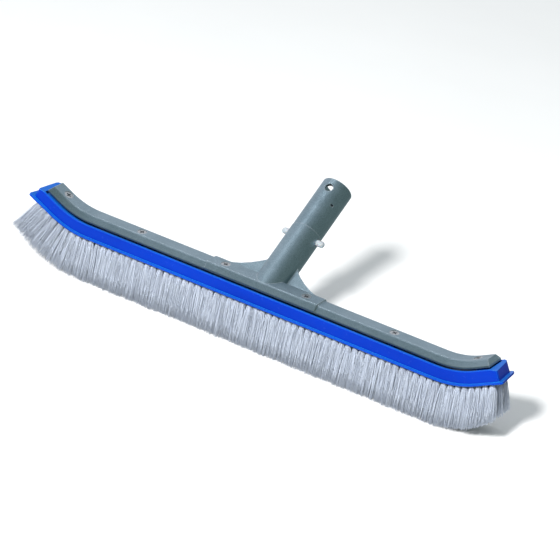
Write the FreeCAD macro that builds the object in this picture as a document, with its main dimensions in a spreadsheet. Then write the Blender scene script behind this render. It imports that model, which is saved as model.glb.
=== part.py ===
"""Pool wall brush: a cast aluminium back with a pole spigot, screwed onto a tufted plastic base.

+X runs along the brush, +Y towards the handle, +Z up. The origin is the tip face of the middle
bristle tuft. Every size of the head is laid out from the base curve, which is the underside of the
base's lip: straight in the middle, bent up at both ends.
"""
import FreeCAD, Part
import Sketcher
import math
import os

from FreeCAD import Placement, Rotation, Vector

SIZES = {
    # the base curve, one half
    "straight_half": 168.0,
    "bend_radius": 85.0,
    "bend_angle": 26.2,
    "end_straight": 21.3,
    # blue bristle base
    "lip_half": 14.0,
    "lip_out": 2.0,
    "lip_thick": 1.7,
    "wall_thick": 1.8,
    "wall_height": 12.1,
    "floor_height": 8.0,
    "edge_break": 0.5,
    "end_wall": 6.0,
    "end_drop": 1.8,
    "end_lip_out": 4.0,
    "end_slant": 2.5,
    "front_corner": 1.8,
    "rear_corner": 3.0,
    "lip_slant": 3.5,
    "lip_front_corner": 1.6,
    "lip_rear_corner": 4.0,
    "corner_share": 0.3,
    # aluminium back
    "rail_gap": 1.0,
    "rail_height": 11.0,
    "rail_lift": 4.8,
    "rail_skirt": 6.6,
    "rail_top_half": 6.3,
    "rail_end_slope": 2.6,
    "rail_roof": 3.0,
    "rail_side": 2.4,
    "rail_end_wall": 3.6,
    "crest_break": 0.7,
    "hollow_drop": 2.0,
    "pad_half": 53.0,
    "pad_proud": 1.1,
    "pad_side": 0.8,
    "pad_skirt": 0.7,
    "trim_inset": 0.25,
    # pole spigot
    "spigot_lean": 58.0,
    "spigot_radius": 13.4,
    "spigot_wall": 2.6,
    "spigot_length": 115.0,
    "turned_length": 50.0,
    "cast_skin": 0.2,
    "bore_depth": 83.0,
    "tip_break": 0.8,
    "hang_hole_radius": 3.6,
    "hang_hole_inset": 9.6,
    "drain_hole_radius": 1.0,
    "drain_hole_inset": 22.0,
    "drain_hole_side": 9.6,
    "web_thick": 4.0,
    "web_reach": 41.0,
    "web_rise": 29.0,
    "web_foot": 15.5,
    # spring clip and its push buttons
    "button_inset": 54.4,
    "button_radius": 2.7,
    "button_stick_out": 6.8,
    "button_clear": 0.3,
    "flange_radius": 3.3,
    "flange_thick": 0.6,
    "flange_gap": 0.1,
    "stem_radius": 1.5,
    "stem_inside": 1.2,
    "stem_break": 0.3,
    "clip_half": 9.4,
    "clip_thick": 0.8,
    "clip_width": 7.0,
    "clip_past_button": 4.5,
    "clip_floor_gap": 0.6,
    # back screws
    "inner_screw": 39.0,
    "middle_screw": 122.0,
    "outer_screw": 207.0,
    "screw_head_radius": 3.8,
    "screw_head_depth": 2.4,
    "screw_head_edge": 0.35,
    "screw_point": 1.6,
    "screw_tip_radius": 0.5,
    "screw_shank_radius": 2.0,
    "screw_length": 9.4,
    "screw_sink": 0.3,
    "recess_width": 1.1,
    "recess_span": 4.4,
    "recess_depth": 1.6,
    "screw_clear": 0.15,
    "boss_radius": 3.75,
    "boss_clear": 0.1,
    "boss_root": 0.5,
    "pilot_clear": 0.02,
    "pilot_past_point": 0.3,
    # tufts
    "exposure": 37.0,
    "tuft_pitch": 6.3,
    "tuft_hole_radius": 1.7,
    "tuft_hole_depth": 6.2,
    "tuft_root_radius": 1.62,
    "tuft_tip_radius": 2.4,
    "row_pitch": 4.4,
    "row_lean": 4.2,
    "end_trim": 7.0,
    "end_tuft_lean": 0.85,
    "anchor_height": 1.2,
    "anchor_width": 3.0,
    "anchor_thick": 0.5,
}
ROWS = 5
# How far a cutting outline reaches past the material that it removes
PAST = 2.0
# The concave top edge of a web: shares of web_reach, each with its height over web_foot
WEB_EDGE = ((1.0, -1.2), (0.82, 1.2), (0.64, 5.0), (0.49, 9.0))
# Where the straight rise to the spigot starts, as a share of web_reach, and how far under web_rise
WEB_RISE_SHARE = 0.37
WEB_RISE_UNDER = 0.8
# How far the webs run into the spigot, so that they join it
WEB_OVERLAP = 4.0
# How far the webs' toes reach past web_reach, and how thick they are there
WEB_TOE = 6.0
WEB_TOE_DROP = 2.4
# The height of the webs' hidden lower edge, inside the rail
WEB_BOTTOM = 6.0
SHEET = "Sizes"

doc = FreeCAD.newDocument("pool_wall_brush")
sheet = doc.addObject("Spreadsheet::Sheet", SHEET)
for row_number, (alias, number) in enumerate(SIZES.items(), start=1):
    sheet.set("A%d" % row_number, alias)
    sheet.set("B%d" % row_number, str(number))
    sheet.setAlias("B%d" % row_number, alias)
doc.recompute()


class Size:
    """A number together with the spreadsheet expression that it comes from."""

    def __init__(self, value, text):
        self.value = value
        self.text = text

    def join(self, other, sign, value):
        return Size(value, "(%s %s %s)" % (self.text, sign, as_size(other).text))

    def __add__(self, other):
        return self.join(other, "+", self.value + as_size(other).value)

    def __sub__(self, other):
        return self.join(other, "-", self.value - as_size(other).value)

    def __mul__(self, other):
        return self.join(other, "*", self.value * as_size(other).value)

    def __neg__(self):
        return Size(-self.value, "(0 - %s)" % self.text)


def as_size(item):
    return item if isinstance(item, Size) else Size(float(item), repr(float(item)))


def cell(alias):
    return Size(float(sheet.get(alias)), "%s.%s" % (SHEET, alias))


def sine(angle):
    return Size(math.sin(math.radians(angle.value)), "sin(%s)" % angle.text)


def cosine(angle):
    return Size(math.cos(math.radians(angle.value)), "cos(%s)" % angle.text)


size = {alias: cell(alias) for alias in SIZES}
number = {alias: size[alias].value for alias in SIZES}

# Lengths that several pieces share, worked out from the driving sizes
wall_outer = size["lip_half"] - size["lip_out"]
wall_inner = wall_outer - size["wall_thick"]
rail_half = wall_inner - size["rail_gap"]
rail_seat = size["floor_height"]
rail_top = rail_seat + size["rail_height"]
rail_low = rail_seat + size["rail_lift"]
rail_shoulder = rail_seat + size["rail_skirt"]
rail_ceiling = rail_top - size["rail_roof"]
hollow_low_half = rail_half - size["rail_side"]
hollow_high_half = size["rail_top_half"] - size["rail_side"] * 0.7
pad_top = rail_top + size["pad_proud"]
pad_shoulder = rail_shoulder + size["pad_side"]
pad_half_across = rail_half + size["pad_side"]
pad_top_half = size["rail_top_half"] + size["pad_side"]
channel_end = size["end_straight"] - size["end_wall"]
lip_reach = size["end_straight"] + size["end_lip_out"]
rail_end = channel_end - size["rail_gap"]
bend_end_x = size["straight_half"] + size["bend_radius"] * sine(size["bend_angle"])
bend_end_z = size["bend_radius"] - size["bend_radius"] * cosine(size["bend_angle"])
BASE_HALF = (number["straight_half"] + number["end_straight"]
             + number["bend_radius"] * math.radians(number["bend_angle"]))
button_at = size["spigot_length"] - size["button_inset"]
bore_floor = size["spigot_length"] - size["bore_depth"]
bore_radius = size["spigot_radius"] - size["spigot_wall"]
button_tip = size["spigot_radius"] + size["button_stick_out"]
web_angle = as_size(90.0) - size["spigot_lean"]


def bind(target, path, item):
    """Tie one property of an object to a size."""
    target.setExpression(path, item.text)


def place(target, prefix, base, angle=None, axis=Vector(1, 0, 0)):
    """Set a placement and tie its position, and its turn about a fixed axis, to sizes."""
    turn = Rotation(axis, angle.value if angle else 0.0)
    spot = [as_size(item) for item in base]
    setattr(target, prefix, Placement(Vector(*[item.value for item in spot]), turn))
    for letter, item in zip("xyz", spot):
        bind(target, "%s.Base.%s" % (prefix, letter), item)
    if angle:
        bind(target, "%s.Rotation.Angle" % prefix, angle)


def new_body(label):
    body = doc.addObject("PartDesign::Body", label)
    body.Label = label
    return body


def new_sketch(body, name, plane="XY_Plane", base=None, angle=None, axis=Vector(1, 0, 0)):
    """A sketch on one of the body's own origin planes, moved and turned within it if asked."""
    sketch = body.newObject("Sketcher::SketchObject", name)
    support = [item for item in body.Origin.OriginFeatures if item.Role == plane][0]
    sketch.AttachmentSupport = [(support, "")]
    sketch.MapMode = "FlatFace"
    if base is not None:
        place(sketch, "AttachmentOffset", base, angle, axis)
    return sketch


def hold(sketch, kind, geometry, vertex, item):
    """Hold a vertex at a signed distance from the sketch's origin."""
    index = sketch.addConstraint(Sketcher.Constraint(kind, -1, 1, geometry, vertex, item.value))
    bind(sketch, "Constraints[%d]" % index, item)


def polygon(sketch, corners):
    """A closed outline through corners given as pairs of sizes."""
    spots = [(as_size(across), as_size(up)) for across, up in corners]
    points = [Vector(across.value, up.value, 0) for across, up in spots]
    first = sketch.GeometryCount
    for index, point in enumerate(points):
        sketch.addGeometry(Part.LineSegment(point, points[(index + 1) % len(points)]), False)
    for index in range(len(points)):
        following = first + (index + 1) % len(points)
        sketch.addConstraint(Sketcher.Constraint("Coincident", first + index, 2, following, 1))
    for index, (across, up) in enumerate(spots):
        hold(sketch, "DistanceX", first + index, 1, across)
        hold(sketch, "DistanceY", first + index, 1, up)


def circle(sketch, across, up, radius):
    """A circle held by its centre and radius."""
    across, up = as_size(across), as_size(up)
    middle = Vector(across.value, up.value, 0)
    ring = sketch.addGeometry(Part.Circle(middle, Vector(0, 0, 1), radius.value), False)
    hold(sketch, "DistanceX", ring, 3, across)
    hold(sketch, "DistanceY", ring, 3, up)
    index = sketch.addConstraint(Sketcher.Constraint("Radius", ring, radius.value))
    bind(sketch, "Constraints[%d]" % index, radius)


def both_sides(half):
    """Complete an outline that is symmetric about the vertical axis."""
    return half + [(-as_size(across), up) for across, up in reversed(half)]


def half_spine(body, name, end_length):
    """The base curve from the middle to one end: a line, a tangent arc and a tangent line."""
    sketch = new_sketch(body, name, "XZ_Plane")
    straight, radius = number["straight_half"], number["bend_radius"]
    angle = math.radians(number["bend_angle"])
    start = Vector(straight, 0, 0)
    turn = Vector(bend_end_x.value, bend_end_z.value, 0)
    finish = turn + Vector(math.cos(angle), math.sin(angle), 0) * end_length.value
    bend = Part.Circle(Vector(straight, radius, 0), Vector(0, 0, 1), radius)
    arc = Part.ArcOfCircle(bend, -math.pi / 2, angle - math.pi / 2)
    lines = [Part.LineSegment(Vector(0, 0, 0), start), Part.LineSegment(turn, finish)]
    sketch.addGeometry([lines[0], arc, lines[1]], False)
    sketch.addConstraint([
        Sketcher.Constraint("Coincident", 0, 1, -1, 1),
        Sketcher.Constraint("Horizontal", 0),
        Sketcher.Constraint("Tangent", 0, 2, 1, 1),
        Sketcher.Constraint("Tangent", 1, 2, 2, 1),
    ])
    hold(sketch, "DistanceX", 0, 2, size["straight_half"])
    index = sketch.addConstraint(Sketcher.Constraint("Radius", 1, radius))
    bind(sketch, "Constraints[%d]" % index, size["bend_radius"])
    hold(sketch, "DistanceX", 2, 1, bend_end_x)
    index = sketch.addConstraint(Sketcher.Constraint("Distance", 2, end_length.value))
    bind(sketch, "Constraints[%d]" % index, end_length)
    return sketch


def sweep(body, kind, name, outline, end_length):
    """Sweep an outline of the YZ plane along half of the base curve."""
    section = new_sketch(body, name + "_section", "YZ_Plane")
    polygon(section, outline)
    spine = half_spine(body, name + "_spine", end_length)
    doc.recompute()
    pipe = body.newObject(kind, name)
    pipe.Profile = section
    pipe.Spine = (spine, [])
    pipe.Mode = "Standard"
    section.Visibility = False
    return pipe


def extrude(body, kind, name, sketch, length=None, midplane=False, reverse=False):
    """Pad or pocket a sketch by a size; a pocket with no length goes right through."""
    feature = body.newObject(kind, name)
    feature.Profile = sketch
    if length is None:
        feature.Type = "ThroughAll"
    else:
        feature.Length = length.value
        bind(feature, "Length", length)
    feature.Midplane = midplane
    feature.Reversed = reverse
    return feature


def mirrored_whole(name, half):
    """The half and its mirror image across the YZ plane, joined."""
    image = doc.addObject("Part::Mirroring", name + "_image")
    image.Source = half
    image.Normal = Vector(1, 0, 0)
    whole = doc.addObject("Part::Fuse", name)
    whole.Base = half
    whole.Tool = image
    whole.Refine = True
    return whole


def fixed_shape(name, shape):
    """A feature whose shape is made by the functions below, which read the sheet's numbers."""
    feature = doc.addObject("Part::Feature", name)
    feature.Shape = shape
    return feature


def curve_frame(distance):
    """The placement on the base curve at a signed distance along it; local Z is its normal."""
    straight, radius, angle = number["straight_half"], number["bend_radius"], number["bend_angle"]
    reach = abs(distance)
    along = min(reach, straight)
    turned = min(max(reach - straight, 0.0) / radius, math.radians(angle))
    rest = max(reach - straight - radius * math.radians(angle), 0.0)
    across = along + radius * math.sin(turned) + rest * math.cos(turned)
    height = radius * (1.0 - math.cos(turned)) + rest * math.sin(turned)
    side = -1.0 if distance < 0 else 1.0
    tilt = Rotation(Vector(0, 1, 0), -side * math.degrees(turned))
    return Placement(Vector(side * across, 0, height), tilt)


def spigot_point(distance):
    """A point on the spigot's axis, as sizes."""
    lean = size["spigot_lean"]
    return (as_size(0.0), distance * sine(lean), rail_seat + distance * cosine(lean))


def placed(shape, placement):
    copy = shape.copy()
    copy.Placement = placement.multiply(copy.Placement)
    return copy


# ---------------------------------------------------------------- blue bristle base
def make_base_half():
    body = new_body("base_half")
    lip, edge, thick = size["lip_half"], size["edge_break"], size["lip_thick"]
    top = size["wall_height"]
    sweep(body, "PartDesign::AdditivePipe", "base_channel", both_sides([
        (lip - edge, 0),
        (lip, edge),
        (lip, thick - edge),
        (lip - edge, thick),
        (wall_outer, thick),
        (wall_outer, top - edge),
        (wall_outer - edge, top),
        (wall_inner + edge, top),
        (wall_inner, top - edge),
        (wall_inner, size["floor_height"]),
    ]), channel_end)
    make_end_level(body, "end_lip", lip, lip_reach, thick,
                   (size["lip_front_corner"], size["lip_rear_corner"], size["lip_slant"]))
    make_end_level(body, "end_block", wall_outer, size["end_straight"], top,
                   (size["front_corner"], size["rear_corner"], size["end_slant"]))
    slope = new_sketch(body, "end_slope_outline", "XZ_Plane", (bend_end_x, bend_end_z, 0),
                       size["bend_angle"], Vector(0, 0, 1))
    polygon(slope, [
        (channel_end, top),
        (size["end_straight"], top - size["end_drop"]),
        (lip_reach, top - size["end_drop"]),
        (lip_reach, top + edge),
        (channel_end, top + edge),
    ])
    extrude(body, "PartDesign::Pocket", "end_slope", slope, midplane=True)
    return body


def make_end_level(body, name, half, reach, height, corners):
    """One flat layer of the base's end: corners are the front and rear corner cuts and the slant."""
    front, rear, slant = corners
    share = size["corner_share"]
    outline = new_sketch(body, name + "_outline", "XY_Plane", (bend_end_x, 0, bend_end_z),
                         -size["bend_angle"], Vector(0, 1, 0))
    polygon(outline, [
        (channel_end, -half),
        (reach - front, -half),
        (reach - front * share, -half + front * share),
        (reach, -half + front),
        (reach - slant, half - rear),
        (reach - slant - rear * share, half - rear * share),
        (reach - slant - rear, half),
        (channel_end, half),
    ])
    extrude(body, "PartDesign::Pad", name, outline, height)


def make_bristle_base():
    """The base with its screw bosses, pilot holes and one hole for each tuft."""
    blank = mirrored_whole("base_blank", make_base_half())
    root = number["floor_height"] - number["boss_root"]
    ceiling = rail_ceiling.value - number["boss_clear"]
    boss = Part.makeCylinder(number["boss_radius"], ceiling - root, Vector(0, 0, root))
    pilot_radius = number["screw_shank_radius"] + number["pilot_clear"]
    pilot_depth = number["screw_length"] + number["screw_sink"] + number["pilot_past_point"]
    tools = []
    bosses = []
    for distance in screw_distances():
        frame = curve_frame(distance)
        bottom = Vector(0, 0, screw_seat(distance) - pilot_depth)
        pilot = Part.makeCylinder(pilot_radius, pilot_depth, bottom)
        bosses.append(placed(boss, frame))
        tools.append(placed(pilot, frame))
    depth = number["tuft_hole_depth"] + PAST
    hole = Part.makeCylinder(number["tuft_hole_radius"], depth, Vector(0, 0, -PAST))
    for tuft in tufts():
        aside = Placement(Vector(0, tuft.across, 0), Rotation())
        tools.append(placed(hole, curve_frame(tuft.distance).multiply(aside)))
    with_bosses = doc.addObject("Part::MultiFuse", "base_with_bosses")
    with_bosses.Shapes = [blank, fixed_shape("base_bosses", Part.makeCompound(bosses))]
    base = doc.addObject("Part::Cut", "bristle_base")
    base.Base = with_bosses
    base.Tool = fixed_shape("base_holes", Part.makeCompound(tools))
    return base


# ---------------------------------------------------------------- aluminium back
def rail_outline(half, shoulder, top, top_half, low):
    edge = size["crest_break"]
    return both_sides([
        (half, low),
        (half, shoulder),
        (top_half + edge * 0.3, top - edge),
        (top_half - edge, top),
    ])


def hollow_outline():
    return both_sides([
        (hollow_low_half, rail_seat - PAST),
        (hollow_low_half, rail_shoulder - size["hollow_drop"]),
        (hollow_high_half, rail_ceiling),
    ])


def make_rail_half():
    body = new_body("rail_half")
    outline = rail_outline(rail_half, rail_shoulder, rail_top, size["rail_top_half"], rail_low)
    sweep(body, "PartDesign::AdditivePipe", "rail", outline, rail_end)
    slope = new_sketch(body, "rail_end_profile", "XZ_Plane", (bend_end_x, bend_end_z, 0),
                       size["bend_angle"], Vector(0, 0, 1))
    polygon(slope, [
        (rail_end, rail_shoulder),
        (rail_end + PAST, rail_shoulder),
        (rail_end + PAST, rail_top + PAST),
        (rail_end - size["rail_end_slope"], rail_top + PAST),
    ])
    extrude(body, "PartDesign::Pocket", "rail_end_facet", slope, midplane=True)
    hollow_end = rail_end - size["rail_end_wall"]
    sweep(body, "PartDesign::SubtractivePipe", "rail_hollow", hollow_outline(), hollow_end)
    return body


def make_spigot():
    """The raised pad, the two webs and the hollow spigot that the pole slides onto."""
    body = new_body("spigot")
    foot = (0, 0, rail_seat)
    ring = new_sketch(body, "spigot_ring", "XY_Plane", foot, -size["spigot_lean"])
    circle(ring, 0, 0, size["spigot_radius"])
    extrude(body, "PartDesign::Pad", "spigot_rod", ring, size["spigot_length"])
    root_ring = new_sketch(body, "spigot_root_ring", "XY_Plane", foot, -size["spigot_lean"])
    circle(root_ring, 0, 0, size["spigot_radius"] + size["cast_skin"])
    extrude(body, "PartDesign::Pad", "spigot_root", root_ring, size["spigot_length"] - size["turned_length"])
    doc.recompute()
    rod = body.Tip
    rounding = body.newObject("PartDesign::Fillet", "spigot_tip")
    rounding.Base = (rod, [find_tip_edge(rod.Shape)])
    rounding.Radius = number["tip_break"]
    bind(rounding, "Radius", size["tip_break"])
    webs = new_sketch(body, "web_outline", "XY_Plane", foot, web_angle)
    reach, rise, low = size["web_reach"], size["web_rise"], size["web_foot"]
    toe = reach + WEB_TOE
    edge = [(reach * share, low + over) for share, over in WEB_EDGE]
    polygon(webs, both_sides([
        (toe, WEB_BOTTOM),
        (toe, edge[0][1] - WEB_TOE_DROP),
        *edge,
        (reach * WEB_RISE_SHARE, rise - WEB_RISE_UNDER),
        (size["spigot_radius"] - 1.0, rise + WEB_OVERLAP),
    ]))
    extrude(body, "PartDesign::Pad", "webs", webs, size["web_thick"], midplane=True)
    trim = new_sketch(body, "socket_trim_outline", "YZ_Plane")
    beyond = size["spigot_length"]
    front = -(pad_top_half - size["trim_inset"])
    polygon(trim, [
        (-beyond, -beyond),
        (beyond, -beyond),
        (beyond, rail_low),
        (front, rail_low),
        (front, beyond),
        (-beyond, beyond),
    ])
    extrude(body, "PartDesign::Pocket", "socket_trim", trim, midplane=True)
    pad = new_sketch(body, "pad_section", "YZ_Plane")
    pad_low = pad_shoulder - size["pad_skirt"]
    polygon(pad, rail_outline(pad_half_across, pad_shoulder, pad_top, pad_top_half, pad_low))
    extrude(body, "PartDesign::Pad", "pad", pad, size["pad_half"] * 2.0, midplane=True)
    hollow = new_sketch(body, "pad_hollow_section", "YZ_Plane")
    polygon(hollow, hollow_outline())
    extrude(body, "PartDesign::Pocket", "pad_hollow", hollow, size["pad_half"] * 2.0 + PAST, midplane=True)
    mouth = new_sketch(body, "bore_ring", "XY_Plane", spigot_point(size["spigot_length"]),
                       -size["spigot_lean"])
    circle(mouth, 0, 0, bore_radius)
    extrude(body, "PartDesign::Pocket", "bore", mouth, size["bore_depth"])
    hang = new_sketch(body, "hang_hole_ring", "XY_Plane", foot, web_angle)
    circle(hang, 0, size["spigot_length"] - size["hang_hole_inset"], size["hang_hole_radius"])
    extrude(body, "PartDesign::Pocket", "hang_hole", hang, midplane=True)
    drain = new_sketch(body, "drain_hole_ring", "XY_Plane", foot, web_angle)
    circle(drain, size["drain_hole_side"], size["spigot_length"] - size["drain_hole_inset"],
           size["drain_hole_radius"])
    extrude(body, "PartDesign::Pocket", "drain_hole", drain, size["spigot_radius"] + PAST, reverse=True)
    side = new_sketch(body, "button_hole_ring", "YZ_Plane")
    spot = spigot_point(button_at)
    circle(side, spot[1], spot[2], size["button_radius"] + size["button_clear"])
    extrude(body, "PartDesign::Pocket", "button_holes", side, midplane=True)
    return body


def find_tip_edge(shape):
    """The name of the circular edge that is furthest from the head."""
    rings = [(edge.CenterOfMass.z, "Edge%d" % count) for count, edge in enumerate(shape.Edges, start=1)
             if isinstance(edge.Curve, Part.Circle)]
    return max(rings)[1]


def screw_distances():
    inner, middle, outer = number["inner_screw"], number["middle_screw"], number["outer_screw"]
    return [-outer, -middle, -inner, inner, middle, outer]


def screw_seat(distance):
    """The height of a screw head's top over the base curve."""
    surface = pad_top if abs(distance) < number["pad_half"] else rail_top
    return surface.value - number["screw_sink"]


def make_aluminium_back():
    rail = mirrored_whole("rail_blank", make_rail_half())
    casting = doc.addObject("Part::MultiFuse", "casting_blank")
    casting.Shapes = [rail, make_spigot()]
    casting.Refine = True
    clear = number["screw_clear"]
    head = number["screw_head_radius"] + clear
    shank = number["screw_shank_radius"] + clear
    depth = number["screw_head_depth"] + clear
    edge = number["screw_head_edge"] + clear
    below = number["rail_height"]
    cutter = Part.makeCylinder(head, number["rail_roof"] + edge, Vector(0, 0, -edge)).fuse([
        Part.makeCone(shank, head, depth - edge, Vector(0, 0, -depth)),
        Part.makeCylinder(shank, below, Vector(0, 0, -below)),
    ])
    cutters = []
    for distance in screw_distances():
        seat = Placement(Vector(0, 0, screw_seat(distance)), Rotation())
        cutters.append(placed(cutter, curve_frame(distance).multiply(seat)))
    back = doc.addObject("Part::Cut", "aluminium_back")
    back.Base = casting
    back.Tool = fixed_shape("screw_clearance", Part.makeCompound(cutters))
    return back


# ---------------------------------------------------------------- screws
def make_screw():
    """One countersunk screw, its head's top at the origin."""
    body = new_body("screw_pattern")
    profile = new_sketch(body, "screw_profile", "XZ_Plane")
    head, shank, length = size["screw_head_radius"], size["screw_shank_radius"], size["screw_length"]
    polygon(profile, [
        (0, 0),
        (head, 0),
        (head, -size["screw_head_edge"]),
        (shank, -size["screw_head_depth"]),
        (shank, size["screw_point"] - length),
        (size["screw_tip_radius"], -length),
        (0, -length),
    ])
    turned = body.newObject("PartDesign::Revolution", "screw_body")
    turned.Profile = profile
    turned.ReferenceAxis = (profile, ["V_Axis"])
    turned.Angle = 360.0
    cross = new_sketch(body, "screw_recess_outline", "XY_Plane")
    arm, half = size["recess_span"] * 0.5, size["recess_width"] * 0.5
    polygon(cross, [
        (arm, half), (half, half), (half, arm),
        (-half, arm), (-half, half), (-arm, half),
        (-arm, -half), (-half, -half), (-half, -arm),
        (half, -arm), (half, -half), (arm, -half),
    ])
    extrude(body, "PartDesign::Pocket", "screw_recess", cross, size["recess_depth"])
    return body


def make_back_screws(screw):
    copies = []
    for distance in screw_distances():
        seat = Placement(Vector(0, 0, screw_seat(distance)), Rotation(Vector(0, 0, 1), 25.0 + distance))
        copies.append(placed(screw.Shape, curve_frame(distance).multiply(seat)))
    return fixed_shape("back_screws", Part.makeCompound(copies))


# ---------------------------------------------------------------- spring clip and buttons
def make_clip():
    """A U of flat strip inside the spigot, its bend towards the head."""
    body = new_body("clip_spring")
    outer, thick = size["clip_half"], size["clip_thick"]
    inner = outer - thick
    bend = bore_floor + size["clip_floor_gap"] + outer
    top = button_at + size["clip_past_button"]
    strip = new_sketch(body, "clip_outline", "XY_Plane", (0, 0, rail_seat), web_angle)
    middle = Vector(0, bend.value, 0)
    far = outer.value
    near = inner.value
    up = top.value
    low = bend.value
    strip.addGeometry([
        Part.LineSegment(Vector(far, up, 0), Vector(far, low, 0)),
        Part.ArcOfCircle(Part.Circle(middle, Vector(0, 0, 1), far), math.pi, 2 * math.pi),
        Part.LineSegment(Vector(-far, low, 0), Vector(-far, up, 0)),
        Part.LineSegment(Vector(-far, up, 0), Vector(-near, up, 0)),
        Part.LineSegment(Vector(-near, up, 0), Vector(-near, low, 0)),
        Part.ArcOfCircle(Part.Circle(middle, Vector(0, 0, 1), near), math.pi, 2 * math.pi),
        Part.LineSegment(Vector(near, low, 0), Vector(near, up, 0)),
        Part.LineSegment(Vector(near, up, 0), Vector(far, up, 0)),
    ], False)
    joins = [(0, 2, 1, 2), (1, 1, 2, 1), (2, 2, 3, 1), (3, 2, 4, 1)]
    joins += [(4, 2, 5, 1), (5, 2, 6, 1), (6, 2, 7, 1), (7, 2, 0, 1)]
    for ends in joins:
        strip.addConstraint(Sketcher.Constraint("Coincident", *ends))
    for arc, radius in ((1, outer), (5, inner)):
        hold(strip, "DistanceX", arc, 3, as_size(0.0))
        hold(strip, "DistanceY", arc, 3, bend)
        index = strip.addConstraint(Sketcher.Constraint("Radius", arc, radius.value))
        bind(strip, "Constraints[%d]" % index, radius)
    corners = ((0, 2, outer, bend), (2, 1, -outer, bend), (4, 2, -inner, bend), (6, 1, inner, bend))
    for line, vertex, across, height in corners:
        hold(strip, "DistanceY", line, vertex, height)
    tops = ((0, 1, outer), (2, 2, -outer), (4, 1, -inner), (6, 2, inner))
    for line, vertex, across in tops:
        hold(strip, "DistanceX", line, vertex, across)
        hold(strip, "DistanceY", line, vertex, top)
    extrude(body, "PartDesign::Pad", "clip_strip", strip, size["clip_width"], midplane=True)
    rivets = new_sketch(body, "clip_hole_ring", "YZ_Plane")
    spot = spigot_point(button_at)
    circle(rivets, spot[1], spot[2], size["stem_radius"] + size["flange_gap"])
    extrude(body, "PartDesign::Pocket", "clip_holes", rivets, midplane=True)
    return body


def make_button(label, side):
    """A push button on the strip's arm: stem, retaining flange, round pin and domed end."""
    body = new_body(label)
    profile = new_sketch(body, label + "_profile", "XY_Plane")
    stem_end = size["clip_half"] - size["clip_thick"] - size["stem_inside"]
    flange_in = size["clip_half"] + size["flange_gap"]
    flange_out = flange_in + size["flange_thick"]
    radius = size["button_radius"]
    shoulder = button_tip - radius
    outline = [
        (stem_end, 0),
        (stem_end, size["stem_radius"] - size["stem_break"]),
        (stem_end + size["stem_break"], size["stem_radius"]),
        (flange_in, size["stem_radius"]),
        (flange_in, size["flange_radius"]),
        (flange_out, size["flange_radius"]),
        (flange_out, radius),
        (shoulder, radius),
    ]
    spots = [(across * side, as_size(up)) for across, up in outline]
    points = [Vector(across.value, up.value, 0) for across, up in spots]
    lines = [Part.LineSegment(first, second) for first, second in zip(points, points[1:])]
    centre = Vector(side * shoulder.value, 0, 0)
    span = (0, math.pi / 2) if side > 0 else (math.pi / 2, math.pi)
    dome = Part.ArcOfCircle(Part.Circle(centre, Vector(0, 0, 1), radius.value), *span)
    axis = Part.LineSegment(Vector(side * button_tip.value, 0, 0), points[0])
    profile.addGeometry(lines + [dome, axis], False)
    arc, closing = len(lines), len(lines) + 1
    for index in range(len(lines) - 1):
        profile.addConstraint(Sketcher.Constraint("Coincident", index, 2, index + 1, 1))
    root, crown = (2, 1) if side > 0 else (1, 2)
    profile.addConstraint(Sketcher.Constraint("Coincident", arc - 1, 2, arc, root))
    profile.addConstraint(Sketcher.Constraint("Coincident", arc, crown, closing, 1))
    profile.addConstraint(Sketcher.Constraint("Coincident", closing, 2, 0, 1))
    for index, (across, up) in enumerate(spots[:-1]):
        hold(profile, "DistanceX", index, 1, across)
        hold(profile, "DistanceY", index, 1, up)
    hold(profile, "DistanceX", arc, 3, shoulder * side)
    hold(profile, "DistanceY", arc, 3, as_size(0.0))
    hold(profile, "DistanceX", arc - 1, 2, shoulder * side)
    hold(profile, "DistanceY", arc - 1, 2, radius)
    profile.addConstraint(Sketcher.Constraint("Horizontal", closing))
    turned = body.newObject("PartDesign::Revolution", label + "_turned")
    turned.Profile = profile
    turned.ReferenceAxis = (profile, ["H_Axis"])
    turned.Angle = 360.0
    return body


# ---------------------------------------------------------------- tufts
class Tuft:
    """One tuft: its row, its place along and across the base, its length and its tip's shift."""

    def __init__(self, row, distance):
        self.row = row
        self.distance = distance
        self.across = (row - (ROWS - 1) / 2) * number["row_pitch"]
        lean = math.radians((row - (ROWS - 1) / 2) * number["row_lean"])
        turned_up = max(abs(distance) - number["straight_half"], 0.0) / (BASE_HALF - number["straight_half"])
        self.exposure = number["exposure"] - number["end_trim"] * turned_up ** 2
        self.tip_across = self.exposure * math.tan(lean)
        upright = (1.0 - number["end_tuft_lean"]) * turned_up * math.radians(number["bend_angle"])
        self.tip_along = -math.copysign(self.exposure * math.tan(upright), distance)

    def part_of_brush(self):
        if abs(self.distance) <= number["straight_half"]:
            return "middle"
        return "left" if self.distance < 0 else "right"


def tufts():
    """Every tuft of the brush; neighbouring rows are staggered by half a pitch."""
    pitch = number["tuft_pitch"]
    room = BASE_HALF - number["tuft_hole_radius"] * 3
    found = []
    for row in range(ROWS):
        shift = 0.5 if row % 2 else 0.0
        count = int((room - shift * pitch) / pitch)
        first = -count - (1 if row % 2 else 0)
        for index in range(first, count + 1):
            found.append(Tuft(row, (index + shift) * pitch))
    return found


def tuft_shape(tuft):
    """A bundle from the bottom of its hole to the trimmed tip, wider at the tip."""
    root = number["tuft_hole_depth"] - number["anchor_height"]
    rings = []
    for height, radius, along, across in (
            (root, number["tuft_root_radius"], 0.0, 0.0),
            (0.0, number["tuft_root_radius"], 0.0, 0.0),
            (-tuft.exposure, number["tuft_tip_radius"], tuft.tip_along, tuft.tip_across)):
        middle = Vector(along, tuft.across + across, height)
        rings.append(Part.Wire(Part.Circle(middle, Vector(0, 0, 1), radius).toShape()))
    return placed(Part.makeLoft(rings, True, True), curve_frame(tuft.distance))


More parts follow.
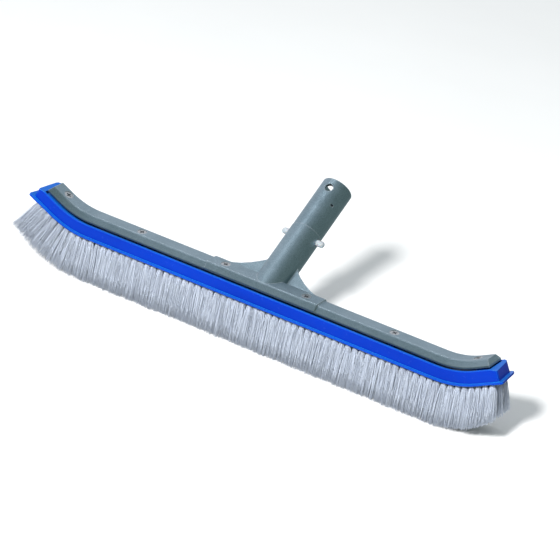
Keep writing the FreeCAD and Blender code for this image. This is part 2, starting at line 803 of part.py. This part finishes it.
def anchor_shape(tuft):
    """The flat wire that holds the folded tuft at the bottom of its hole."""
    high, wide, thick = number["anchor_height"], number["anchor_width"], number["anchor_thick"]
    corner = Vector(-wide / 2, tuft.across - thick / 2, number["tuft_hole_depth"] - high)
    return placed(Part.makeBox(wide, thick, high, corner), curve_frame(tuft.distance))


def make_tufts():
    groups = {}
    for tuft in tufts():
        name = "bristle_row_%d_%s" % (tuft.row + 1, tuft.part_of_brush())
        groups.setdefault(name, []).append(tuft_shape(tuft))
    return [fixed_shape(name, Part.makeCompound(shapes)) for name, shapes in groups.items()]



# ---------------------------------------------------------------- the whole brush
back = make_aluminium_back()
base = make_bristle_base()
screw = make_screw()
clip = make_clip()
buttons = [make_button("left_button", -1), make_button("right_button", 1)]
doc.recompute()

anchors = fixed_shape("tuft_anchors", Part.makeCompound([anchor_shape(tuft) for tuft in tufts()]))
nodes = [back, base, make_back_screws(screw), clip, anchors] + buttons + make_tufts()
for node in nodes:
    node.Label = node.Name
    lift = (as_size(0.0), as_size(0.0), size["exposure"])
    if node in buttons:
        spot = spigot_point(button_at)
        lift = (spot[0], spot[1], spot[2] + size["exposure"])
    place(node, "Placement", lift)
doc.recompute()

for item in doc.Objects:
    if "Invalid" in item.State or "Error" in item.State:
        raise RuntimeError("%s did not compute" % item.Label)
os.makedirs("parts", exist_ok=True)
for node in nodes:
    if node.Shape.isNull() or not node.Shape.isValid():
        raise RuntimeError("%s has no valid shape" % node.Label)
for node in nodes:
    node.Shape.exportStep("parts/%s.step" % node.Label)
    box = node.Shape.BoundBox
    print("%-24s %4d solids  %10.1f mm3  x %.1f..%.1f  y %.1f..%.1f  z %.1f..%.1f" % (
        node.Label, len(node.Shape.Solids), node.Shape.Volume,
        box.XMin, box.XMax, box.YMin, box.YMax, box.ZMin, box.ZMax))
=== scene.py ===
"""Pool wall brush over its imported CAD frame: materials, filaments, spring clip and studio."""

import math

import bpy
import numpy as np
from mathutils import Matrix, Vector


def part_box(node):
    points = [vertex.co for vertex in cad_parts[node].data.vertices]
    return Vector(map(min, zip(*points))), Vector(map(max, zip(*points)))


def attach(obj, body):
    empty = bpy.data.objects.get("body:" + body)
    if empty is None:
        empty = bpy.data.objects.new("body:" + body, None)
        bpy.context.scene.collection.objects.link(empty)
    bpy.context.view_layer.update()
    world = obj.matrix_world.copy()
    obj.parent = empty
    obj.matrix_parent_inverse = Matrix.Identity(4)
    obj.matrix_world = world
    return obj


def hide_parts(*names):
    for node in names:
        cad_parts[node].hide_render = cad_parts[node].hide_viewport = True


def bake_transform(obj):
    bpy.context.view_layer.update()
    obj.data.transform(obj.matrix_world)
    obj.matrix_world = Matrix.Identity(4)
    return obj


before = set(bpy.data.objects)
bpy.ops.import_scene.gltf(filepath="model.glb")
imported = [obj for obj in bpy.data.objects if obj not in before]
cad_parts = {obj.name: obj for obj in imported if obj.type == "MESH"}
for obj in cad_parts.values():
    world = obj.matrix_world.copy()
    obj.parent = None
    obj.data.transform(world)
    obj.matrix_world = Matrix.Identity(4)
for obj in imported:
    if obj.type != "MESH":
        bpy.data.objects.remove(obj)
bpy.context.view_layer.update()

MM = 0.001
HEAD = "brush_head"
BEVEL_SAMPLES = 6
# Cosine of the turn between a rounded normal and the true one: flat surface, and well into an edge
FLAT_COSINE = 0.995
EDGE_COSINE = 0.90
# Upright part of the normal where a surface begins to face up, and where it does so wholly
SLOPE_UP = 0.70
FACE_UP = 0.88


# ---------------------------------------------------------------- material helpers
class Recipe:
    """A node material under construction: one Principled shader and the nodes that feed it."""

    def __init__(self, name):
        self.material = bpy.data.materials.new(name)
        self.material.use_nodes = True
        self.tree = self.material.node_tree
        self.tree.nodes.clear()
        output = self.add("OutputMaterial")
        self.shader = self.add("BsdfPrincipled")
        self.link(self.shader.outputs[0], output.inputs["Surface"])
        self.place = self.add("TexCoord").outputs["Object"]
        self.normal = None
        self.edges = None

    def add(self, kind):
        return self.tree.nodes.new("ShaderNode" + kind)

    def link(self, source, target):
        self.tree.links.new(source, target)

    def fixed(self, **values):
        """Numbers and colours that are the same all over the surface."""
        for name, value in values.items():
            self.shader.inputs[name.replace("_", " ")].default_value = value

    def stretched(self, scale):
        """The surface coordinates, stretched by three factors."""
        node = self.add("Mapping")
        self.link(self.place, node.inputs["Vector"])
        node.inputs["Scale"].default_value = scale
        return node.outputs["Vector"]

    def noise(self, scale, detail=3.0, roughness=0.55, place=None):
        node = self.add("TexNoise")
        self.link(place or self.place, node.inputs["Vector"])
        node.inputs["Scale"].default_value = scale
        node.inputs["Detail"].default_value = detail
        node.inputs["Roughness"].default_value = roughness
        return node.outputs["Fac"]

    def span(self, factor, low, high, from_low=0.3, from_high=0.7):
        """The factor turned into a number between low and high."""
        node = self.add("MapRange")
        self.link(factor, node.inputs["Value"])
        limits = {"From Min": from_low, "From Max": from_high, "To Min": low, "To Max": high}
        for name, value in limits.items():
            node.inputs[name].default_value = value
        return node.outputs["Result"]

    def shades(self, factor, *stops):
        """A colour ramp over the factor; each stop is a place and a colour."""
        node = self.add("ValToRGB")
        ramp = node.color_ramp
        while len(ramp.elements) < len(stops):
            ramp.elements.new(0.5)
        for element, (place, colour) in zip(ramp.elements, stops):
            element.position = place
            element.color = (*colour, 1.0)
        self.link(factor, node.inputs["Fac"])
        return node.outputs["Color"]

    def mixed(self, factor, first, second, kind="MIX"):
        """Two colours joined; a factor that is a number stays a number."""
        node = self.add("Mix")
        node.data_type = "RGBA"
        node.blend_type = kind
        colour_in = [s for s in node.inputs if s.type == "RGBA"]
        if isinstance(factor, (int, float)):
            node.inputs[0].default_value = factor
        else:
            self.link(factor, node.inputs[0])
        for socket, value in zip(colour_in, (first, second)):
            if isinstance(value, tuple):
                socket.default_value = (*value, 1.0)
            else:
                self.link(value, socket)
        return next(s for s in node.outputs if s.type == "RGBA")

    def colour(self, source):
        self.link(source, self.shader.inputs["Base Color"])

    def roughness(self, source):
        self.link(source, self.shader.inputs["Roughness"])

    def softened(self, radius):
        """Rounds every sharp edge by that radius, and keeps in edges how near an edge is."""
        bevel = self.add("Bevel")
        bevel.samples = BEVEL_SAMPLES
        bevel.inputs["Radius"].default_value = radius
        self.normal = bevel.outputs["Normal"]
        self.link(self.normal, self.shader.inputs["Normal"])
        compare = self.add("VectorMath")
        compare.operation = "DOT_PRODUCT"
        self.link(self.normal, compare.inputs[0])
        self.link(self.add("NewGeometry").outputs["Normal"], compare.inputs[1])
        self.edges = self.span(compare.outputs["Value"], 1.0, 0.0, EDGE_COSINE, FLAT_COSINE)

    def facing_up(self):
        """One where the surface faces up, and nothing where it stands."""
        parts = self.add("SeparateXYZ")
        self.link(self.add("NewGeometry").outputs["Normal"], parts.inputs[0])
        return self.span(parts.outputs["Z"], 0.0, 1.0, SLOPE_UP, FACE_UP)

    def bump(self, height, depth, strength=1.0):
        """Relief of that depth in metres, over the relief already there."""
        node = self.add("Bump")
        node.inputs["Strength"].default_value = strength
        node.inputs["Distance"].default_value = depth
        self.link(height, node.inputs["Height"])
        if self.normal is not None:
            self.link(self.normal, node.inputs["Normal"])
        self.normal = node.outputs["Normal"]
        self.link(self.normal, self.shader.inputs["Normal"])


# ---------------------------------------------------------------- materials
def cast_aluminium():
    """Cast aluminium: fine grain, shallow waves, faint cloudy tone, satin gloss, edges lighter as wear
    and as painted highlight.
    """
    made = Recipe("cast_aluminium_satin")
    clouds = made.noise(45.0, 4.0)
    tone = made.shades(clouds, (0.30, (0.330, 0.440, 0.505)), (0.70, (0.410, 0.525, 0.595)))
    grain = made.noise(1500.0, 3.0, 0.7)
    speck = made.shades(grain, (0.38, (0.58, 0.60, 0.62)), (0.60, (1.0, 1.0, 1.0)))
    made.softened(0.0007)
    # Edges lighter and glossier: partly worn bare metal, partly a painted highlight along the crest
    worn_and_highlit = made.mixed(made.edges, made.mixed(0.75, tone, speck, "MULTIPLY"), (0.80, 0.87, 0.92))
    made.colour(worn_and_highlit)
    satin = made.span(made.noise(320.0), 0.36, 0.48)
    made.roughness(made.mixed(made.edges, satin, (0.24, 0.24, 0.24)))
    made.fixed(Metallic=1.0)
    made.bump(made.noise(130.0, 2.0), 0.00030)
    made.bump(grain, 0.00010)
    return made.material


def blue_plastic():
    """Injection-moulded blue plastic: glossy, with slight flow marks and a few fine scuffs; painted
    highlight makes up-facing faces and edges lighter.
    """
    made = Recipe("blue_moulded_plastic")
    flow = made.noise(18.0, 3.0, place=made.stretched((0.5, 1.0, 2.0)))
    base = made.shades(flow, (0.30, (0.0001, 0.021, 0.30)), (0.70, (0.0002, 0.030, 0.37)))
    scuff = made.noise(420.0, 4.0, 0.7, made.stretched((0.12, 1.0, 1.0)))
    mark = made.span(scuff, 0.0, 0.35, 0.66, 0.80)
    made.softened(0.0006)
    scuffed = made.mixed(mark, base, (0.004, 0.07, 0.42))
    # Painted highlight: faces turned up are made a lighter blue, as if lit from above
    painted_top_light = made.mixed(made.facing_up(), scuffed, (0.006, 0.095, 0.42))
    # Painted highlight: edges are made a bright azure, standing in for rim glints
    made.colour(made.mixed(made.edges, painted_top_light, (0.012, 0.17, 0.60)))
    made.roughness(made.span(made.noise(240.0, 3.0), 0.17, 0.29))
    made.fixed(Specular_IOR_Level=0.14)
    made.bump(made.noise(90.0, 2.0), 0.00012)
    made.bump(made.noise(1600.0, 2.0), 0.000006)
    return made.material


def stainless(name, dark, light, rough):
    """Stainless steel: bright, with fine drawn lines."""
    made = Recipe(name)
    lines = made.noise(2200.0, 3.0, 0.6, made.stretched((1.0, 0.15, 1.0)))
    made.colour(made.shades(lines, (0.3, dark), (0.7, light)))
    made.roughness(made.span(made.noise(700.0), rough, rough + 0.12))
    made.fixed(Metallic=1.0)
    made.bump(lines, 0.00001)
    return made.material


def white_acetal():
    """Milky moulded acetal, slightly waxy."""
    made = Recipe("white_acetal")
    milk = made.noise(260.0, 3.0)
    made.colour(made.shades(milk, (0.3, (0.30, 0.34, 0.37)), (0.7, (0.40, 0.44, 0.47))))
    made.roughness(made.span(made.noise(900.0), 0.28, 0.40))
    made.fixed(Subsurface_Weight=0.15, Subsurface_Scale=0.001)
    made.bump(made.noise(1400.0, 2.0), 0.00001)
    return made.material


def nylon_fibre():
    """Bluish-white nylon: streaks of tone along the fibres, nearly matt."""
    made = Recipe("nylon_fibre")
    along = made.stretched((1.0, 1.0, 0.06))
    strand = made.noise(2400.0, 2.0, 0.5, along)
    stops = ((0.32, (0.44, 0.49, 0.59)), (0.52, (0.48, 0.53, 0.62)), (0.72, (0.53, 0.57, 0.64)))
    made.colour(made.shades(strand, *stops))
    made.roughness(made.span(made.noise(900.0), 0.50, 0.65))
    made.fixed(Specular_IOR_Level=0.20)
    made.bump(made.noise(5200.0, 2.0), 0.00001)
    return made.material


CAST = cast_aluminium()
BLUE = blue_plastic()
SCREW_STEEL = stainless("stainless_screw", (0.42, 0.44, 0.46), (0.66, 0.68, 0.70), 0.24)
SPRING_STEEL = stainless("spring_steel_strip", (0.30, 0.29, 0.27), (0.50, 0.49, 0.46), 0.28)
WIRE = stainless("brass_anchor_wire", (0.42, 0.30, 0.13), (0.62, 0.46, 0.20), 0.30)
ACETAL = white_acetal()
NYLON = nylon_fibre()

NODE_MATERIALS = {
    "aluminium_back": CAST,
    "bristle_base": BLUE,
    "back_screws": SCREW_STEEL,
    "left_button": ACETAL,
    "right_button": ACETAL,
    "tuft_anchors": WIRE,
}
for node, material in NODE_MATERIALS.items():
    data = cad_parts[node].data
    data.materials.clear()
    data.materials.append(material)


def new_piece(name, corners, faces, material, smooth=True):
    """A mesh piece in the row frame, with its finish."""
    mesh = bpy.data.meshes.new(name)
    mesh.from_pydata(corners, [], faces)
    mesh.polygons.foreach_set("use_smooth", [smooth] * len(mesh.polygons))
    mesh.materials.append(material)
    mesh.update()
    piece = bpy.data.objects.new(name, mesh)
    bpy.context.scene.collection.objects.link(piece)
    return piece


# ---------------------------------------------------------------- bristles
# The tufts stand where the CAD model's tuft holes are, along the same base curve.
STRAIGHT_HALF = 168.0
BEND_RADIUS = 85.0
BEND_ANGLE = math.radians(26.2)
END_STRAIGHT = 21.3
BASE_HALF = STRAIGHT_HALF + BEND_RADIUS * BEND_ANGLE + END_STRAIGHT
EXPOSURE = 37.0
# How much shorter the last tufts are, and the share of the bend's turn that the tufts lean with
END_TRIM = {"left": 3.5, "right": 8.0}
END_LEAN = {"left": 1.28, "right": 0.20}
TUFT_PITCH = 6.3
HOLE_RADIUS = 1.7
ROWS = 5
ROW_PITCH = 4.4
ROW_LEAN = math.radians(4.2)

# Sizes of one tuft and of its filaments, in millimetres
FILAMENTS = 120
FILAMENT_ROOT = 0.145
FILAMENT_TIP = 0.13
FILAMENT_SIDES = 3
RINGS = 4
SUNK = 2.0
ROOT_SPREAD = 1.46
TIP_SPREAD = np.array([5.4, 3.6])
SPREAD_POWER = 0.62
TIP_STRAY = 1.0
TRIM_STRAY = 1.8
TUFT_SHIFT = 0.45
BOW = 0.35
FLOOR_CLEAR = 0.02
GOLDEN_ANGLE = math.pi * (3.0 - math.sqrt(5.0))
SEED = 41


def turned_angle(distance):
    """How far the base curve has turned up at a distance along it."""
    return min(max(abs(distance) - STRAIGHT_HALF, 0.0) / BEND_RADIUS, BEND_ANGLE)


def curve_frame(distance):
    """A point of the base curve with its tangent and its normal, which points away from the tips."""
    reach = abs(distance)
    side = math.copysign(1.0, distance)
    turned = turned_angle(distance)
    rest = max(reach - STRAIGHT_HALF - BEND_RADIUS * BEND_ANGLE, 0.0)
    across = min(reach, STRAIGHT_HALF) + BEND_RADIUS * math.sin(turned) + rest * math.cos(turned)
    height = BEND_RADIUS * (1.0 - math.cos(turned)) + rest * math.sin(turned)
    point = np.array([side * across, 0.0, EXPOSURE + height])
    tangent = np.array([math.cos(turned), 0.0, side * math.sin(turned)])
    normal = np.array([-side * math.sin(turned), 0.0, math.cos(turned)])
    return point, tangent, normal


def tuft_places():
    """Row, distance along the base and part of the brush of every tuft; rows are staggered."""
    room = BASE_HALF - HOLE_RADIUS * 3
    for row in range(ROWS):
        shift = 0.5 if row % 2 else 0.0
        count = int((room - shift * TUFT_PITCH) / TUFT_PITCH)
        first = -count - (1 if row % 2 else 0)
        for index in range(first, count + 1):
            distance = (index + shift) * TUFT_PITCH
            if abs(distance) <= STRAIGHT_HALF:
                yield row, distance, "middle"
            else:
                yield row, distance, "left" if distance < 0 else "right"


def tuft_lines(row, distance, random):
    """The middle lines of a tuft's filaments, as an array of filament, ring and coordinate."""
    point, tangent, normal = curve_frame(distance)
    lean = (row - (ROWS - 1) / 2) * ROW_LEAN
    across = (row - (ROWS - 1) / 2) * ROW_PITCH
    turned_up = max(abs(distance) - STRAIGHT_HALF, 0.0) / (BASE_HALF - STRAIGHT_HALF)
    side = "right" if distance > 0 else "left"
    exposure = EXPOSURE - END_TRIM[side] * turned_up ** 2

    number = np.arange(FILAMENTS)
    ring = np.sqrt((number + 0.5) / FILAMENTS)
    angle = number * GOLDEN_ANGLE + random.uniform(0.0, math.tau)
    disc = np.stack([ring * np.cos(angle), ring * np.sin(angle)], axis=1)
    tuft_shift = random.normal(0.0, TUFT_SHIFT, 2)
    stray = random.normal(0.0, TIP_STRAY, (FILAMENTS, 2)) + tuft_shift
    bow = random.normal(0.0, BOW, (FILAMENTS, 2))
    trim = exposure - random.uniform(0.0, TRIM_STRAY, FILAMENTS)

    share = np.linspace(0.0, 1.0, RINGS)[None, :, None]
    spread = share ** SPREAD_POWER
    root = disc[:, None, :] * ROOT_SPREAD
    tip = disc[:, None, :] * TIP_SPREAD + stray[:, None, :]
    sideways = root * (1.0 - spread) + tip * spread + bow[:, None, :] * np.sin(math.pi * share)
    depth = -SUNK + share[..., 0] * (trim[:, None] + SUNK)
    drift = across + np.maximum(depth, 0.0) * math.tan(lean)
    straightened = (1.0 - END_LEAN[side]) * turned_angle(distance)
    upright = math.tan(straightened) * math.copysign(1.0, distance)

    along = (sideways[..., 0] - np.maximum(depth, 0.0) * upright)[..., None] * tangent
    outward = (sideways[..., 1] + drift)[..., None] * np.array([0.0, 1.0, 0.0])
    return point + along + outward - depth[..., None] * normal, tangent


def bristle_piece(name, members, random):
    """All filaments of one bristle node, as closed thin tubes in one mesh."""
    turn = np.arange(FILAMENT_SIDES) * math.tau / FILAMENT_SIDES
    radius = np.linspace(FILAMENT_ROOT, FILAMENT_TIP, RINGS)[None, :, None, None]
    corners = []
    for row, distance in members:
        lines, tangent = tuft_lines(row, distance, random)
        sides = np.cos(turn)[:, None] * tangent + np.sin(turn)[:, None] * np.array([0.0, 1.0, 0.0])
        corners.append(lines[:, :, None, :] + radius * sides[None, None])
    corners = np.concatenate(corners).reshape(-1, RINGS, FILAMENT_SIDES, 3)
    corners[..., 2] = np.maximum(corners[..., 2], FLOOR_CLEAR)
    count = len(corners)
    index = np.arange(count * RINGS * FILAMENT_SIDES).reshape(count, RINGS, FILAMENT_SIDES)
    after = np.roll(index, -1, axis=2)
    walls = np.stack([index[:, :-1], index[:, 1:], after[:, 1:], after[:, :-1]], axis=-1)
    caps = np.concatenate([index[:, 0], index[:, -1, ::-1]])
    faces = walls.reshape(-1, 4).tolist() + caps.tolist()
    return new_piece(name, (corners.reshape(-1, 3) * MM).tolist(), faces, NYLON)


def make_bristles():
    groups = {}
    for row, distance, part in tuft_places():
        groups.setdefault("row_%d_%s" % (row + 1, part), []).append((row, distance))
    random = np.random.default_rng(SEED)
    for name, members in groups.items():
        piece = bristle_piece("filaments_" + name, members, random)
        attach(piece, HEAD)
        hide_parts("bristle_" + name)


make_bristles()


# ---------------------------------------------------------------- spring clip
CLIP_NODE = "clip_spring"
CLIP_HALF = 9.4 * MM
CLIP_THICK = 0.8 * MM
CLIP_WIDTH = 7.0 * MM
SPIGOT_LEAN = math.radians(58.0)
BEND_STEPS = 14
ARM_STEPS = 12
EDGE_ROUND = 0.18 * MM
# The strip's last stretch is narrower
NARROW_LENGTH = CLIP_WIDTH / 4
NARROW_SHARE = 0.86


def make_clip_half(side, button):
    """One arm of the U strip, from the middle of its bend to past the button."""
    axis = Vector((0.0, math.sin(SPIGOT_LEAN), math.cos(SPIGOT_LEAN)))
    wide = Vector((0.0, -math.cos(SPIGOT_LEAN), math.sin(SPIGOT_LEAN)))
    across = Vector((side, 0.0, 0.0))
    low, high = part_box(CLIP_NODE)
    centre = Vector((0.0, (low.y + high.y) / 2, (low.z + high.z) / 2))
    reach = (high.y - low.y - CLIP_WIDTH * math.cos(SPIGOT_LEAN)) / math.sin(SPIGOT_LEAN)
    bottom = centre - axis * (reach / 2)
    bend_middle = bottom + axis * CLIP_HALF
    arm = reach - CLIP_HALF
    path = []
    for step in range(BEND_STEPS + 1):
        angle = step * (math.pi / 2) / BEND_STEPS
        outwards = across * math.sin(angle) - axis * math.cos(angle)
        path.append((bend_middle, outwards, 1.0))
    for step in range(1, ARM_STEPS + 1):
        along = arm * step / ARM_STEPS
        narrowing = NARROW_SHARE if arm - along < NARROW_LENGTH else 1.0
        path.append((bend_middle + axis * along, across, narrowing))
    corners = []
    faces = []
    inner, outer = CLIP_HALF - CLIP_THICK, CLIP_HALF
    for start, outwards, narrowing in path:
        half = CLIP_WIDTH / 2 * narrowing
        outline = (
            (inner, -half + EDGE_ROUND), (inner, half - EDGE_ROUND), (inner + EDGE_ROUND, half),
            (outer - EDGE_ROUND, half), (outer, half - EDGE_ROUND), (outer, -half + EDGE_ROUND),
            (outer - EDGE_ROUND, -half), (inner + EDGE_ROUND, -half))
        for offset, height in outline:
            corners.append(start + outwards * offset + wide * height)
    around = len(outline)
    for ring in range(len(path) - 1):
        for spot in range(around):
            first = ring * around + spot
            second = ring * around + (spot + 1) % around
            loop = [first, second, second + around, first + around]
            faces.append(loop if side > 0 else loop[::-1])
    last = (len(path) - 1) * around
    start_cap = list(range(around))
    end_cap = list(range(last, last + around))
    faces.append(start_cap[::-1] if side > 0 else start_cap)
    faces.append(end_cap if side > 0 else end_cap[::-1])
    piece = new_piece("clip_arm_" + button, corners, faces, SPRING_STEEL, smooth=False)
    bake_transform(piece)
    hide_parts(CLIP_NODE)


make_clip_half(-1.0, "left_button")
make_clip_half(1.0, "right_button")


# ---------------------------------------------------------------- studio
CAMERA_AZIMUTH = math.radians(29.788)
CAMERA_ELEVATION = math.radians(26.544)
CAMERA_ROLL = math.radians(7.384)
CAMERA_DISTANCE = 2.6309
CAMERA_LENS = 210.06
CAMERA_SENSOR = 36.0
AIM = Vector((0.0055, 0.0129, 0.0543))
FLOOR_REACH = 8.0
BRIGHT_SIDE = Vector((-0.80, 0.45, 0.40))


def make_camera():
    flat = math.cos(CAMERA_ELEVATION)
    aside, behind = math.sin(CAMERA_AZIMUTH) * flat, -math.cos(CAMERA_AZIMUTH) * flat
    back = Vector((aside, behind, math.sin(CAMERA_ELEVATION)))
    level = Vector((math.cos(CAMERA_AZIMUTH), math.sin(CAMERA_AZIMUTH), 0.0))
    upright = back.cross(level)
    right = level * math.cos(CAMERA_ROLL) + upright * math.sin(CAMERA_ROLL)
    up = upright * math.cos(CAMERA_ROLL) - level * math.sin(CAMERA_ROLL)
    data = bpy.data.cameras.new("studio_camera")
    data.lens = CAMERA_LENS
    data.sensor_width = CAMERA_SENSOR
    camera = bpy.data.objects.new("studio_camera", data)
    bpy.context.scene.collection.objects.link(camera)
    turn = Matrix([[right[i], up[i], back[i]] for i in range(3)]).to_4x4()
    camera.matrix_world = Matrix.Translation(AIM + back * CAMERA_DISTANCE) @ turn
    bpy.context.scene.camera = camera


def make_floor():
    recipe = Recipe("studio_paper")
    paper = recipe.shades(recipe.noise(6.0), (0.3, (0.86, 0.86, 0.86)), (0.7, (0.88, 0.88, 0.88)))
    recipe.colour(paper)
    recipe.fixed(Roughness=0.9, Emission_Strength=0.02)
    recipe.shader.inputs["Emission Color"].default_value = (1.0, 1.0, 1.0, 1.0)
    mesh = bpy.data.meshes.new("floor")
    corners = [(x * FLOOR_REACH, y * FLOOR_REACH, 0) for x, y in ((-1, -1), (1, -1), (1, 1), (-1, 1))]
    mesh.from_pydata(corners, [], [(0, 1, 2, 3)])
    mesh.materials.append(recipe.material)
    floor = bpy.data.objects.new("floor", mesh)
    bpy.context.scene.collection.objects.link(floor)
    floor.visible_glossy = False


def make_soft_light(name, place, target, size, power, colour):
    data = bpy.data.lights.new(name, "AREA")
    data.shape = "DISK"
    data.size = size
    data.energy = power
    data.color = colour
    light = bpy.data.objects.new(name, data)
    bpy.context.scene.collection.objects.link(light)
    light.location = place
    light.rotation_euler = (Vector(target) - Vector(place)).to_track_quat("-Z", "Y").to_euler()
    return light


def make_world():
    """Soft surroundings: a bright side up and to the back left, dim and slightly green elsewhere."""
    world = bpy.data.worlds.new("studio_world")
    bpy.context.scene.world = world
    world.use_nodes = True
    tree = world.node_tree
    tree.nodes.clear()
    output = tree.nodes.new("ShaderNodeOutputWorld")
    background = tree.nodes.new("ShaderNodeBackground")
    coordinates = tree.nodes.new("ShaderNodeTexCoord")
    facing = tree.nodes.new("ShaderNodeVectorMath")
    facing.operation = "DOT_PRODUCT"
    facing.inputs[1].default_value = BRIGHT_SIDE.normalized()
    spread = tree.nodes.new("ShaderNodeMapRange")
    ramp = tree.nodes.new("ShaderNodeValToRGB")
    tree.links.new(coordinates.outputs["Generated"], facing.inputs[0])
    tree.links.new(facing.outputs["Value"], spread.inputs["Value"])
    spread.inputs["From Min"].default_value = -1.0
    tree.links.new(spread.outputs["Result"], ramp.inputs["Fac"])
    tree.links.new(ramp.outputs["Color"], background.inputs["Color"])
    tree.links.new(background.outputs[0], output.inputs["Surface"])
    stops = ((0.46, (0.22, 0.27, 0.25)), (0.64, (0.50, 0.55, 0.57)), (0.88, (0.74, 0.76, 0.80)))
    elements = ramp.color_ramp.elements
    elements.new(0.5)
    for element, (place, colour) in zip(elements, stops):
        element.position = place
        element.color = (*colour, 1.0)


make_camera()
make_floor()
make_world()
key = make_soft_light("key_light", place=(0.13, -1.53, 1.40), target=(0.0, 0.0, 0.03),
                      size=0.36, power=68.0, colour=(1.0, 0.99, 0.98))
key.visible_glossy = False
make_soft_light("crest_light", place=(-0.75, 0.10, 1.70), target=(0.0, 0.0, 0.05),
                size=0.35, power=1.4, colour=(0.97, 0.99, 1.0))
bpy.context.scene.view_settings.view_transform = "Standard"
